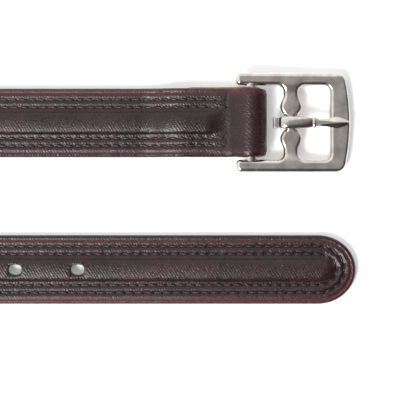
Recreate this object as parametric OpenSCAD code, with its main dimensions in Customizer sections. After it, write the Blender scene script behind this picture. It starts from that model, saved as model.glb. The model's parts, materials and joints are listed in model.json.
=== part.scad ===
// Stirrup leather: a padded, stitched strap with a square centre-bar buckle at one end and a
// round tip with oval punched holes at the other. The buckle end and the tip end lie flat, side
// by side and face up. Between them the strap turns on edge and is wound double into a roll.
// X runs along the flat ends, toward the buckle and the tip. Z is up, from the surface it lies on.

/* [Strap] */
// Width of the finished strap
strap_w = 25.4; // [24:0.2:30]
// Spacing of the two flat ends, centre to centre
run_spacing = 54; // [52:1:80]
// Length of strap that lies flat behind the buckle's rear bar
flat_len = 240; // [215:5:300]
// Distance from the buckle's rear bar to the tip, along X
tip_reach = 38.7; // [20:0.1:60]
// Length of the rounded tip
tip_len = 14; // [13:0.1:20]
// Length of the quarter twist between the flat and the on-edge stretch
twist_len = 95; // [80:5:140]
// Radius of the two inner bends of the roll, to the middle of the strap
roll_core_r = 10.4; // [10:0.2:16]

/* [Layers] */
// Thickness of the calf cover
cover_t = 1.2; // [1:0.1:1.4]
// Thickness of the lining
lining_t = 1.2; // [1:0.1:1.4]
// Thickness of the nylon core
core_t = 1.2; // [1:0.1:1.4]
// Height of the raised pad
pad_t = 1.2; // [0.8:0.1:1.6]
// Width of the raised pad, outside
pad_w = 9.2; // [7.4:0.2:9.8]

/* [Stitching] */
// Distance of each outer stitch row from the middle of the strap
outer_row = 8.5; // [8:0.1:9.5]
// Distance of each inner stitch row from the middle of the strap
inner_row = 5.7; // [5.4:0.1:6.4]
// Width of a thread
thread_w = 0.6; // [0.4:0.1:0.8]

/* [Holes] */
// Number of punched holes
hole_count = 8; // [2:1:8]
// Spacing of the punched holes
hole_pitch = 23; // [20:0.5:23]
// Length of an oval hole, along the strap
hole_l = 5.3; // [4.6:0.1:7]
// Width of an oval hole
hole_w = 4; // [3:0.1:5]
// Distance from the first hole's centre to the tip
first_hole = 102.4; // [80:0.2:110]

/* [Buckle] */
// Distance from the rear bar's axis to the middle of the front edge
frame_reach = 36.75; // [36:0.25:40]
// Length of the side bars behind the rear bar's axis
frame_heel = 5.6; // [4:0.1:5.6]
// Width of each side bar
side_bar = 4.65; // [3.6:0.05:6]
// Thickness of the frame
frame_t = 4.4; // [3.6:0.1:4.6]
// Width of the front bar at its middle
front_bar = 7.6; // [6:0.2:9]
// Bulge of the front edge between its corners
front_bulge = 2.3; // [1:0.1:3]
// Radius of the round rear bar
rear_r = 2.2; // [2:0.05:2.4]
// Distance from the rear bar's axis to the centre bar's axis
centre_bar_x = 14.7; // [14.5:0.1:17]
// Width of the centre bar at its necks
neck_w = 5.4; // [4.6:0.1:6]
// Width of the centre bar at its bulges
bulge_w = 7.8; // [6.4:0.1:8.4]

/* [Tongue] */
// Width of the tongue's loop
tongue_w = 4.4; // [3.6:0.1:4.8]
// Outer radius of the tongue's loop
tongue_r = 4.3; // [4:0.1:4.5]
// Length of the tongue in front of the centre bar's axis
tongue_l = 22; // [21:0.1:24]
// Widest width of the tongue's blade
blade_w = 3.9; // [3:0.1:4.4]
// Width of the tongue's neck
blade_neck = 2.7; // [2.2:0.1:3.2]

/* [Hidden] */
$fn = 64;
eps = 0.02;

// Strap section heights, up from the back surface
core_z = lining_t;
cover_z = core_z + core_t;
flat_t = cover_z + cover_t;
crown_t = flat_t + pad_t;
half_w = strap_w / 2;
edge_t = 1.1;
pad_half = pad_w / 2;
pad_wall = 1;
thread_h = 0.2;
groove_d = 0.3;
groove_w = thread_w + 0.05;

// Fold round the rear bar
// Radial clearance of the bored fold, and of the liner before the bore is cut
bar_fit = 0.06;
wrap_fit = 0.02;
wrap_r = rear_r + wrap_fit;
fold_r = wrap_r + flat_t;
bar_z = fold_r;
stack_z = flat_t;
wrap_a = 36;
climb_r = 7;
slope_h = bar_z + wrap_r - stack_z - (wrap_r + climb_r) * (1 - cos(wrap_a));
slope_l = slope_h / tan(wrap_a);
level_x = -(wrap_r + climb_r) * sin(wrap_a) - slope_l;
flap_len = 22.5;
rise_r = 20;
rise_a = acos(1 - stack_z / (2 * rise_r));
rise_l = 2 * rise_r * sin(rise_a);
flat_start = -flap_len - 18;
rise_x = flat_start + rise_l;
liner_peek = 0.45;
// Station of the fold at which the liner's upper leg starts, clear of its lower leg
liner_from = 4;

// Plan of the strap, from the rear bar's axis on the middle line between the two flat ends
run_y = run_spacing / 2;
flat_x = -flat_len;
edge_x = flat_x - twist_len;
edge_len = 10;
back_gap = 0.2;
pitch = crown_t + 2 * back_gap;
tip_x = tip_reach;
tip_root = tip_x - tip_len;

// Roll: every layer is a chain of half circles about two centres half a pitch apart
mid_t = crown_t / 2;
core_x = 2 * roll_core_r;
roll_x = edge_x - edge_len - pitch / 2;
last_r = core_x + 3.5 * pitch;
roll_y = pitch / 2 - last_r;

// Buckle, in its own frame: the rear bar's axis is the origin and the front edge is at +X
window_half = half_w + 0.9;
frame_half = window_half + side_bar;
front_inner = frame_reach - front_bar;
front_r = (frame_half * frame_half + front_bulge * front_bulge) / (2 * front_bulge);
corner_rear = 1.8;
corner_front = 3.7;
corner_window = 1.8;
journal_r = 2;
journal_half = 2.7;
bar_t = 3.4;
bulge_y = 5.4;
neck_y = 9.6;
tilt = asin((bar_z - frame_t / 2) / frame_reach);

// Tongue, in the frame's directions from the centre bar's axis
tongue_fit = 0.05;
blade_z = frame_t / 2 + 0.1;
blade_top = tongue_r;
tail_l = 6.5;
tail_h = 2.6;
collar_x = 8;
collar_l = 0.6;
neck_end_x = 12.2;
blade_wide_x = tongue_l - 4.7;

// Place of the whole part: the origin is at the middle of its box, on the surface
box_left = roll_x - core_x - 3 * pitch - mid_t;
tongue_tip_x = centre_bar_x + tongue_l;
box_right = max(tip_x, frame_reach * cos(tilt) + frame_t / 2 * sin(tilt),
    tongue_tip_x * cos(tilt) + blade_top * sin(tilt));
box_near = roll_y - core_x - 2.5 * pitch - mid_t;
box_far = run_y + frame_half;
shift_x = -(box_left + box_right) / 2;
shift_y = -(box_near + box_far) / 2;

// Sections, as [across, up] points from the middle of the back surface
function strip_sec(middle, width, low, high) =
    [[middle - width / 2, low], [middle + width / 2, low], [middle + width / 2, high], [middle - width / 2, high]];
core_sec = strip_sec(0, strap_w - 2 * edge_t, core_z, cover_z);
pad_sec = strip_sec(0, pad_w - 2 * pad_wall, cover_z, cover_z + pad_t);

// The cover's ring: the outside from right to left, then the hollow back again
cover_sec = [[half_w, 0], [half_w, flat_t], [pad_half, flat_t], [pad_half, crown_t],
    [-pad_half, crown_t], [-pad_half, flat_t], [-half_w, flat_t], [-half_w, 0],
    [edge_t - half_w, 0], [edge_t - half_w, cover_z], [pad_wall - pad_half, cover_z],
    [pad_wall - pad_half, cover_z + pad_t], [pad_half - pad_wall, cover_z + pad_t],
    [pad_half - pad_wall, cover_z], [half_w - edge_t, cover_z], [half_w - edge_t, 0]];
lining_sec = strip_sec(0, strap_w - 2 * edge_t, thread_h, core_z);

// The same sections with a point at every line where another layer's face starts or stops. The
// twists use them, because two bent faces only lie on each other if they are cut up alike.
rows_out = [for (row = [outer_row, inner_row]) for (end = [0.5, -0.5]) row + end * thread_w];
plies = concat([half_w - edge_t], rows_out, [pad_half - pad_wall]);
function mirrored(xs) = concat(xs, [for (i = [len(xs) - 1:-1:0]) -xs[i]]);
function ply_sec(low, high) = let (ws = mirrored(plies))
    concat([for (i = [len(ws) - 1:-1:0]) [ws[i], low]], [for (w = ws) [w, high]]);
function half_ring(edge_w, walls, top, cuts, pad_x, pad_top) =
    concat([for (h = walls) [edge_w, h]], [[edge_w, top]], [for (w = cuts) [w, top]],
        [[pad_x, top], [pad_x, pad_top]]);
function flipped(ps) = [for (i = [len(ps) - 1:-1:0]) [-ps[i][0], ps[i][1]]];
function backward(ps) = [for (i = [len(ps) - 1:-1:0]) ps[i]];
skin = half_ring(half_w, [0, thread_h, core_z], flat_t, rows_out, pad_half, crown_t);
hollow = half_ring(half_w - edge_t, [0, thread_h, core_z], cover_z, rows_out, pad_half - pad_wall,
    cover_z + pad_t);
cover_twist = concat(skin, flipped(skin), backward(concat(hollow, flipped(hollow))));

// Length of one section along X, from x0 to x1, with its back surface at height z
module run(sec, x0, x1, y, z)
    translate([x0, y, z]) rotate([90, 0, 90]) linear_extrude(x1 - x0) polygon(sec);

// Quarter twist of one end's section, from flat to on edge; side is 1 for the buckle end.
// A section is a ring: its points k and n - 1 - k face each other across the ring's wall. The
// split of each bent face goes by its own direction, so two layers split a shared face alike.
twist_rings = 16;
function ease(u) = u * u * (3 - 2 * u);
function twist_slope(side, u) = side * (run_y - back_gap) * 6 * u * (1 - u) / twist_len;
function twist_point(side, u, p) =
    let (head = atan(twist_slope(side, u)), roll = 90 * ease(u),
         across = p[0] * cos(roll) + side * p[1] * sin(roll))
    [flat_x - twist_len * u - sin(head) * across,
     side * (run_y + (back_gap - run_y) * ease(u)) + cos(head) * across,
     half_w * sin(roll) - side * p[0] * sin(roll) + p[1] * cos(roll)];
module twist(sec, side) {
    n = len(sec);
    points = [for (k = [0:twist_rings]) for (p = sec) twist_point(side, k / twist_rings, p)];
    walls = [for (k = [0:twist_rings - 1]) for (i = [0:n - 1])
        let (a = k * n + i, b = k * n + (i + 1) % n, way = sec[(i + 1) % n] - sec[i])
        each (way[0] + way[1] > 0 ? [[a, b, b + n], [a, b + n, a + n]]
            : [[a, b, a + n], [b, b + n, a + n]])];
    m = twist_rings * n;
    caps = [for (k = [0:n / 2 - 2]) let (j = n - 1 - k) each [[k, j, k + 1], [k + 1, j, j - 1],
        [m + k, m + k + 1, m + j], [m + k + 1, m + j - 1, m + j]]];
    polyhedron(points, concat(caps, walls));
}

// Arc of the roll about [cx, cy] on the roll's middle line; face is 1 outward, -1 inward
module coil_arc(sec, cx, r, a0, a1, face)
    translate([roll_x + cx, roll_y, half_w]) rotate([0, 0, a0]) rotate_extrude(angle = a1 - a0)
        polygon([for (p = sec) [r + face * (p[1] - mid_t), p[0]]]);

// Everything between the two flat stretches: both twists, the doubled stretch and the roll
module hidden_length(sec, twist_sec) {
    for (side = [1, -1]) {
        twist(twist_sec, side);
        translate([0, side * back_gap, half_w]) rotate([-90 * side, 0, 0])
            run(sec, edge_x - edge_len, edge_x, 0, 0);
        coil_arc(sec, side * core_x / 2, core_x / 2, side > 0 ? 0 : 180, side > 0 ? 180 : 360, side);
    }
    coil_arc(sec, -pitch / 2, core_x + pitch / 2, 180, 360, 1);
    coil_arc(sec, pitch / 2, core_x + 1.5 * pitch, 0, 180, 1);
    coil_arc(sec, -pitch / 2, core_x + 2.5 * pitch, 180, 360, 1);
    coil_arc(sec, pitch / 2, core_x + 3.5 * pitch, 90, 180, 1);
    coil_arc(sec, pitch / 2, core_x + pitch / 2, 0, 180, -1);
    coil_arc(sec, -pitch / 2, core_x + 1.5 * pitch, 180, 360, -1);
    coil_arc(sec, pitch / 2, core_x + 2.5 * pitch, 90, 180, -1);
}

// Side view of the buckle end: stations of the back surface as [x, z, lean in x, lean in z],
// where the lean points from the back to the face
function arc_stations(cx, cz, r, a0, a1, n, outward) = [for (i = [1:n]) let (a = a0 + (a1 - a0) * i / n)
    [cx + r * cos(a), cz + r * sin(a), outward * cos(a), outward * sin(a)]];
rise_path = concat([[flat_start, 0, 0, 1]],
    arc_stations(flat_start, rise_r, rise_r, -90, rise_a - 90, 8, -1),
    arc_stations(rise_x, stack_z - rise_r, rise_r, 90 + rise_a, 90, 8, 1), [[level_x, stack_z, 0, 1]]);
pad_end_path = [[level_x - pad_wall, stack_z, 0, 1], [level_x, stack_z, 0, 1]];
foam_path = concat([for (i = [0:len(rise_path) - 2]) rise_path[i]], [pad_end_path[0]]);
fold_path = concat([[level_x, stack_z, 0, 1]],
    arc_stations(level_x, stack_z + climb_r, climb_r, -90, wrap_a - 90, 8, -1),
    arc_stations(0, bar_z, wrap_r, 90 + wrap_a, 89 + wrap_a, 1, 1),
    arc_stations(0, bar_z, wrap_r, 89 + wrap_a, -90, 43, 1), [[-flap_len, stack_z, 0, -1]]);

// One strip of the buckle end: from w0 to w1 across the strap and from t0 to t1 up from its back
module strip(path, w0, w1, t0, t1)
    translate([0, run_y + w1, 0]) rotate([90, 0, 0]) linear_extrude(w1 - w0)
        polygon(concat([for (p = path) [p[0] + t0 * p[2], p[1] + t0 * p[3]]],
            [for (i = [len(path) - 1:-1:0]) let (p = path[i]) [p[0] + t1 * p[2], p[1] + t1 * p[3]]]));
// The same strip on both sides of the middle
module strip_pair(path, w0, w1, t0, t1) {
    strip(path, w0, w1, t0, t1);
    strip(path, -w1, -w0, t0, t1);
}

// Plan of the rounded tip, inset all round
tip_steps = 40;
function tip_plan(inset) = concat([[tip_root, inset - half_w]],
    [for (i = [1:tip_steps - 1]) let (a = 180 * i / tip_steps - 90)
        [tip_root + (tip_len - inset) * cos(a), (half_w - inset) * sin(a)]],
    [[tip_root, half_w - inset]]);
module tip_slab(inset, low, high)
    translate([0, -run_y, low]) linear_extrude(high - low) polygon(tip_plan(inset));

// Oval holes along the tip end
hole_xs = [for (i = [0:hole_count - 1]) let (x = tip_x - first_hole - i * hole_pitch)
    if (x > flat_x + hole_l) x];
module punched() {
    difference() {
        children();
        for (x = hole_xs) oval_punch(x);
    }
}
module oval_punch(x) {
    half = (hole_l - hole_w) / 2;
    for (end = [-half, half])
        translate([x + end, -run_y, -1]) cylinder(d = hole_w, h = crown_t + 2);
    translate([x - half, -run_y - hole_w / 2, -1]) cube([2 * half, hole_w, crown_t + 2]);
}

// Moves the whole part from the buckle's rear bar to the middle of its box
module placed() translate([shift_x, shift_y, 0]) children();

// Calf cover: over the pad and turned down round both edges, whole from the flap to the tip
module face_leather() color("#46302f") placed() union() {
    hidden_length(cover_sec, cover_twist);
    run(cover_sec, flat_x, flat_start, run_y, 0);
    strip_pair(rise_path, half_w - edge_t, half_w, 0, flat_t);
    strip_pair(rise_path, pad_half - pad_wall, half_w - edge_t, cover_z, flat_t);
    strip_pair(rise_path, pad_half - pad_wall, pad_half, flat_t, crown_t);
    strip(rise_path, pad_wall - pad_half, pad_half - pad_wall, cover_z + pad_t, crown_t);
    strip(pad_end_path, pad_wall - pad_half, pad_half - pad_wall, cover_z, crown_t);
    difference() {
        union() {
            strip(fold_path, edge_t - half_w, half_w - edge_t, cover_z, flat_t);
            strip_pair(fold_path, half_w - edge_t, half_w, core_z, flat_t);
        }
        turnback_rows(groove_w, -1, groove_d);
    }
    punched() {
        union() {
            run(cover_sec, flat_x, tip_root, -run_y, 0);
            difference() {
                union() {
                    tip_slab(0, 0, flat_t);
                    tip_slab(half_w - pad_half, flat_t - eps, crown_t);
                }
                tip_slab(edge_t, -1, cover_z);
                tip_slab(half_w - pad_half + pad_wall, 0, cover_z + pad_t);
            }
        }
    }
}

// Lining: the back of the strap, between the cover's turned edges
module back_leather() color("#3b2826") placed() union() {
    hidden_length(lining_sec, ply_sec(thread_h, core_z));
    run(lining_sec, flat_x, flat_start, run_y, 0);
    strip(rise_path, edge_t - half_w, half_w - edge_t, thread_h, core_z);
    punched() {
        union() {
            run(lining_sec, flat_x, tip_root, -run_y, 0);
            tip_slab(edge_t, thread_h, core_z);
        }
    }
}

// Nylon core: the webbing that carries the load, round the rear bar and back
module nylon_core() color("#8a8a86") placed() union() {
    hidden_length(core_sec, ply_sec(core_z, cover_z));
    run(core_sec, flat_x, flat_start, run_y, 0);
    strip(rise_path, edge_t - half_w, half_w - edge_t, core_z, cover_z);
    strip(fold_path, edge_t - half_w, half_w - edge_t, core_z, cover_z);
    punched() {
        union() {
            run(core_sec, flat_x, tip_root, -run_y, 0);
            tip_slab(edge_t, core_z, cover_z);
        }
    }
}

// Foam pad: the strip that raises the middle of the face
module foam_pad() color("#d8d4c8") placed() union() {
    hidden_length(pad_sec, pad_sec);
    run(pad_sec, flat_x, flat_start, run_y, 0);
    strip(foam_path, pad_wall - pad_half, pad_half - pad_wall, cover_z, cover_z + pad_t);
    punched() {
        union() {
            run(pad_sec, flat_x, tip_root, -run_y, 0);
            tip_slab(half_w - pad_half + pad_wall, cover_z, cover_z + pad_t);
        }
    }
}

// Wear liner: plain russet leather round the rear bar and between the two plies behind it
module bar_liner() color("#b08a62") placed() difference() {
    strip([for (i = [liner_from:len(fold_path) - 1]) fold_path[i]], -half_w, half_w + liner_peek, 0, core_z);
    translate([0, run_y + strap_w, bar_z]) rotate([90, 0, 0])
        cylinder(r = rear_r + bar_fit, h = 2 * strap_w);
}

// Half ring of one stitch row round the tip
module row_tip(row, width, low, high) {
    inset = half_w - row;
    difference() {
        tip_slab(inset - width / 2, low, high);
        tip_slab(inset + width / 2, low - 1, high + 1);
    }
}

// Both lines of one stitch row on one side of the strap, and their turn round the tip
module stitch_row(row, low, high) {
    for (side = [1, -1]) {
        sec = strip_sec(side * row, thread_w, low, high);
        hidden_length(sec, sec);
        run(sec, flat_x, flat_start, run_y, 0);
        strip(rise_path, side * row - thread_w / 2, side * row + thread_w / 2, low, high);
        run(sec, flat_x, tip_root, -run_y, 0);
    }
    row_tip(row, thread_w, low, high);
}
module outer_face_thread() color("#241012") placed() stitch_row(outer_row, flat_t, flat_t + thread_h);
module inner_face_thread() color("#241012") placed() stitch_row(inner_row, flat_t, flat_t + thread_h);
module outer_back_thread() color("#241012") placed() stitch_row(outer_row, 0, thread_h);
module inner_back_thread() color("#241012") placed() stitch_row(inner_row, 0, thread_h);

// The four stitch rows under the turned-back length
module turnback_rows(width, low, high) {
    for (row = [-outer_row, -inner_row, inner_row, outer_row])
        translate([-flap_len + 1, run_y + row - width / 2, low])
            cube([level_x + flap_len - 1, width, high - low]);
}
module turnback_thread() color("#241012") placed() turnback_rows(thread_w, groove_d - thread_h, groove_d);

// Places a piece of the buckle, drawn flat with the rear bar's axis at its origin
module in_buckle() translate([0, run_y, bar_z]) rotate([0, tilt, 0]) children();

// Plate of the frame: rear corners small, front corners larger, front edge bowed
module frame_plate() {
    bow_x = frame_reach - front_r;
    corner_y = frame_half - corner_front;
    corner_x = bow_x + sqrt(pow(front_r - corner_front, 2) - corner_y * corner_y);
    bow_y = corner_y * front_r / (front_r - corner_front);
    translate([-frame_heel + corner_rear, -frame_half, -frame_t / 2])
        cube([corner_x + frame_heel - corner_rear, 2 * frame_half, frame_t]);
    translate([-frame_heel, corner_rear - frame_half, -frame_t / 2])
        cube([frame_heel, 2 * (frame_half - corner_rear), frame_t]);
    intersection() {
        translate([bow_x, 0, -frame_t / 2]) cylinder(r = front_r, h = frame_t, $fn = 360);
        translate([0, -bow_y, -frame_t]) cube([frame_reach + 1, 2 * bow_y, 2 * frame_t]);
    }
    for (side = [1, -1]) {
        translate([corner_rear - frame_heel, side * (frame_half - corner_rear), -frame_t / 2])
            cylinder(r = corner_rear, h = frame_t);
        translate([corner_x, side * corner_y, -frame_t / 2]) cylinder(r = corner_front, h = frame_t);
    }
}

// Space inside the frame, open at the rear
module frame_window() {
    corner_x = front_inner - corner_window;
    corner_y = window_half - corner_window;
    translate([-frame_heel - 1, -window_half, -frame_t])
        cube([corner_x + frame_heel + 1, 2 * window_half, 2 * frame_t]);
    translate([0, -corner_y, -frame_t]) cube([front_inner, 2 * corner_y, 2 * frame_t]);
    for (side = [1, -1])
        translate([corner_x, side * corner_y, -frame_t]) cylinder(r = corner_window, h = 2 * frame_t);
}

// Half width of the centre bar at a distance y from its middle
function blend(a, b, u) = a + (b - a) * (1 - cos(180 * u)) / 2;
function centre_half(y) =
    y < bulge_y ? blend(journal_r + 0.2, bulge_w / 2, (y - journal_half) / (bulge_y - journal_half)) :
    y < neck_y ? blend(bulge_w / 2, neck_w / 2, (y - bulge_y) / (neck_y - bulge_y)) :
    y < window_half - corner_window ? neck_w / 2 :
    neck_w / 2 + corner_window - sqrt(max(0, pow(corner_window, 2) - pow(y - window_half + corner_window, 2)));

// Half of the centre bar, from the tongue's journal out to one side bar
bar_steps = 28;
module centre_half_bar() {
    ys = [for (i = [0:bar_steps]) journal_half + (window_half - journal_half) * i / bar_steps];
    outline = concat([for (y = ys) [centre_bar_x + centre_half(y), y]],
        [for (i = [bar_steps:-1:0]) [centre_bar_x - centre_half(ys[i]), ys[i]]]);
    translate([0, 0, -bar_t / 2]) linear_extrude(bar_t) polygon(outline);
}

// Buckle frame: one stainless casting with a round rear bar and a waisted centre bar
module buckle_frame() color("#a39a95") placed() in_buckle() union() {
    difference() {
        frame_plate();
        frame_window();
    }
    centre_half_bar();
    mirror([0, 1, 0]) centre_half_bar();
    translate([centre_bar_x, journal_half + 0.3, 0]) rotate([90, 0, 0])
        cylinder(r = journal_r, h = 2 * journal_half + 0.6);
    translate([0, window_half + 0.5, 0]) rotate([90, 0, 0])
        cylinder(r = rear_r, h = 2 * window_half + 1);
}

// Tongue: a loop round the centre bar, a short tail behind it and a blade to the front bar
module buckle_tongue() color("#b0a69f") placed() in_buckle() translate([centre_bar_x, 0, 0]) {
    wide = tongue_w / 2;
    neck = blade_neck / 2;
    right = [[0, wide], [collar_x, wide], [collar_x + collar_l, neck], [neck_end_x, neck],
        [blade_wide_x, blade_w / 2], [tongue_l, 0.15]];
    outline = concat(right, [for (i = [len(right) - 1:-1:0]) [right[i][0], -right[i][1]]]);
    difference() {
        union() {
            translate([0, wide, 0]) rotate([90, 0, 0]) cylinder(r = tongue_r, h = tongue_w);
            translate([-tail_l, -wide, -tail_h / 2]) cube([tail_l, tongue_w, tail_h]);
            translate([0, 0, blade_z]) linear_extrude(blade_top - blade_z) polygon(outline);
        }
        translate([0, wide + 1, 0]) rotate([90, 0, 0])
            cylinder(r = journal_r + tongue_fit, h = tongue_w + 2);
    }
}

buckle_frame();
buckle_tongue();
face_leather();
back_leather();
nylon_core();
foam_pad();
bar_liner();
outer_face_thread();
inner_face_thread();
outer_back_thread();
inner_back_thread();
turnback_thread();
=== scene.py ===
"""Looks of a stirrup leather: calf cover, lining, stitching, steel buckle, floor, light and camera."""

import json
import math

import bmesh
import bpy
import numpy as np
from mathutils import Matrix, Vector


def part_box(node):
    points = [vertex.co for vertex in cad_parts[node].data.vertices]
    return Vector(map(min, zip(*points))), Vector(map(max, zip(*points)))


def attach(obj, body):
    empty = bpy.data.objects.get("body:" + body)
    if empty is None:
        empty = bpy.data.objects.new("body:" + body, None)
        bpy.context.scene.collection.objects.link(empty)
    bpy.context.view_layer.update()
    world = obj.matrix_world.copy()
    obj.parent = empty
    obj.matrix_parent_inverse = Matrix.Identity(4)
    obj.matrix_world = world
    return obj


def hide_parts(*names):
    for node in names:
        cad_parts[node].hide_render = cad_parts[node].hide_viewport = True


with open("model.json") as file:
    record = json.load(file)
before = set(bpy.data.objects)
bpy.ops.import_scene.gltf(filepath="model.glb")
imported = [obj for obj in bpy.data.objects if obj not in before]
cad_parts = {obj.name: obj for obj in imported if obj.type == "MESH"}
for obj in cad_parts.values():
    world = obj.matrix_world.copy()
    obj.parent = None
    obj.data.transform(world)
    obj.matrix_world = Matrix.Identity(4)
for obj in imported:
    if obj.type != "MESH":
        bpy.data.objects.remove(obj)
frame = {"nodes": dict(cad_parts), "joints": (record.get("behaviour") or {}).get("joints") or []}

bl_info = {
    "name": "Stirrup leather",
    "version": (1, 0, 0),
    "blender": (4, 5, 0),
    "location": "3D View > Sidebar > Stirrup leather",
    "description": "Builds a padded, stitched stirrup leather and its buckle over a fixed frame",
    "category": "Add Mesh",
}

MM = 0.001
X_AXIS, Y_AXIS, Z_AXIS = np.eye(3)

# ---------------------------------------------------------------- design sizes, in millimetres
# They repeat the design's driving dimensions; places come from the frame.
STRAP_W = 25.4
HALF_W = STRAP_W / 2
LAYER_T = 1.2
FLAT_T = 3 * LAYER_T
CROWN_T = 4 * LAYER_T
# Two flat runs side by side, a quarter twist in each, then both rolled up on edge, back to back
RUN_Y = 27.0
FLAT_LEN = 240.0
TWIST_LEN = 95.0
EDGE_LEN = 10.0
BACK_GAP = 0.2
COIL_CORE = 20.8
COIL_PITCH = CROWN_T + 2 * BACK_GAP
TIP_LEN = 14.0
# The fold round the rear bar, and the rise on to the turned-back end
REAR_R = 2.2
WRAP_R = REAR_R + 0.02
WRAP_A = math.radians(36)
CLIMB_R = 7.0
FLAP_LEN = 22.5
RISE_R = 20.0
STACK_Z = FLAT_T
BAR_Z = WRAP_R + FLAT_T
FLAT_START = -FLAP_LEN - 18
RISE_A = math.acos(1 - STACK_Z / (2 * RISE_R))
FOLD_CORNER_R = 1.7
# Stitches and holes
OUTER_ROW_INSET = HALF_W - 8.5
INNER_ROW_INSET = HALF_W - 5.7
STITCH_PITCH = 3.5
STITCH_LEN = 0.9 * STITCH_PITCH
STITCH_SLANT = math.radians(-11)
HOLE_PITCH = 23.0
HOLE_L, HOLE_W = 5.3, 4.0
HOLE_EASE = 0.06
FIRST_HOLE = 102.4
HOLE_COUNT = 8
HOLE_DISH = 0.9
# Heights of the rows over the back's middle, how far the face rows rise at the fold, thread radii
FACE_ROW_Z = 3.28
FACE_ROW_RISE = 0.42
BACK_ROW_Z = 0.2
TURNBACK_ROW_Z = 3.38
BACK_THREAD_R = 0.26
TURNBACK_THREAD_R = 0.2
PUCKER_REACH = 0.85
# Buckle
WINDOW_HALF = HALF_W + 0.9
CENTRE_BAR_X = 14.7
FRAME_BACK = -5.6
FRONT_BOW = 2.3
FRONT_CORNER_R = 3.7
REAR_CORNER_R = 2.0
WINDOW_CORNER_R = 2.2
NOTCH_CORNER_R = 1.6
CENTRE_THINNING = 0.82
# The centre bar's half widths, and how far from its middle each of its parts ends
SEAT_HALF, STEP_HALF, BULGE_HALF, WAIST_HALF = 1.75, 2.6, 3.9, 2.65
SEAT_END, STEP_END, SWELL_END, WAIST_END = 2.3, 2.9, 5.9, 10.2
FLARE_R = 2.4

JOINTS = {j["name"]: j for j in frame["joints"]}
BAR = np.array(JOINTS["frame_hinge"]["pos_m"]) / MM
TONGUE_AXIS = np.array(JOINTS["tongue_hinge"]["pos_m"]) / MM
SHIFT = np.array([BAR[0], BAR[1] - RUN_Y, 0.0])
TIP_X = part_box("face_leather")[1][0] / MM - SHIFT[0]
TIP_ROOT = TIP_X - TIP_LEN
TILT = math.asin((BAR[2] - TONGUE_AXIS[2]) / math.hypot(*(BAR - TONGUE_AXIS)[[0, 2]]))


# ---------------------------------------------------------------- small helpers
def smooth(u):
    """Ease from 0 to 1: three u squared less two u cubed, held at the ends."""
    u = np.clip(u, 0, 1)
    return u * u * (3 - 2 * u)


def grid_faces(rows, cols, wrap_rows=False, wrap_cols=False):
    """Quads of a rows by cols grid of vertices, numbered row by row, joined end to end if asked."""
    r = np.arange(rows if wrap_rows else rows - 1)
    c = np.arange(cols if wrap_cols else cols - 1)
    r, c = [a.ravel() for a in np.meshgrid(r, c, indexing="ij")]
    r1, c1 = (r + 1) % rows, (c + 1) % cols
    return np.stack([r * cols + c, r * cols + c1, r1 * cols + c1, r1 * cols + c], axis=1)


def new_object(name, verts, faces, attributes=None, weld=None):
    """Mesh object from an array of places in millimetres and an array of faces."""
    mesh = bpy.data.meshes.new(name)
    mesh.from_pydata((np.asarray(verts) * MM).tolist(), [], np.asarray(faces).tolist())
    for key, values in (attributes or {}).items():
        layer = mesh.attributes.new(key, "FLOAT_VECTOR", "POINT")
        layer.data.foreach_set("vector", np.asarray(values, dtype=np.float32).ravel())
    obj = bpy.data.objects.new(name, mesh)
    bpy.context.scene.collection.objects.link(obj)
    if weld:
        bm = bmesh.new()
        bm.from_mesh(mesh)
        bmesh.ops.remove_doubles(bm, verts=bm.verts, dist=weld * MM)
        bmesh.ops.dissolve_degenerate(bm, edges=bm.edges, dist=weld * MM)
        bmesh.ops.holes_fill(bm, edges=[e for e in bm.edges if e.is_boundary], sides=0)
        bmesh.ops.recalc_face_normals(bm, faces=bm.faces)
        bm.to_mesh(mesh)
        bm.free()
    mesh.shade_smooth()
    return obj


def places_of(obj):
    """The mesh's points as an array of places in metres."""
    co = np.zeros(len(obj.data.vertices) * 3)
    obj.data.vertices.foreach_get("co", co)
    return co.reshape(-1, 3)


def set_places(obj, places):
    """Puts the mesh's points at new places in metres."""
    obj.data.vertices.foreach_set("co", places.ravel())
    obj.data.update()
    return obj


def apply_modifiers(obj):
    """Turns the object's modifiers into plain mesh."""
    mesh = bpy.data.meshes.new_from_object(obj.evaluated_get(bpy.context.evaluated_depsgraph_get()))
    obj.modifiers.clear()
    old = obj.data
    obj.data = mesh
    mesh.name = old.name
    bpy.data.meshes.remove(old)


def loose_drop(obj):
    """Removes the points that no face uses."""
    bm = bmesh.new()
    bm.from_mesh(obj.data)
    bmesh.ops.delete(bm, geom=[v for v in bm.verts if not v.link_faces], context="VERTS")
    bm.to_mesh(obj.data)
    bm.free()


# ---------------------------------------------------------------- the strap's course
def straight(start, end, step):
    """Places along a straight line, the first left out."""
    start, end = np.array(start, float), np.array(end, float)
    n = max(1, int(math.ceil(np.linalg.norm(end - start) / step)))
    u = np.arange(1, n + 1)[:, None] / n
    return start + (end - start) * u


def bend_stations(cx, cz, r, a0, a1, n, outward, run_y):
    """Arc in the upright plane of the buckle end: back surface at radius r, face out of or into it."""
    a = a0 + (a1 - a0) * np.arange(1, n + 1) / n
    radial = np.stack([np.cos(a), 0 * a, np.sin(a)], axis=1)
    places = np.array([cx, run_y, cz]) + r * radial
    return places, np.tile(Y_AXIS, (n, 1)), outward * radial


def level_stations(start, end, side_dir, face_dir, step):
    """Straight stretch with one lean."""
    places = straight(start, end, step)
    n = len(places)
    return places, np.tile(side_dir, (n, 1)), np.tile(face_dir, (n, 1))


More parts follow.
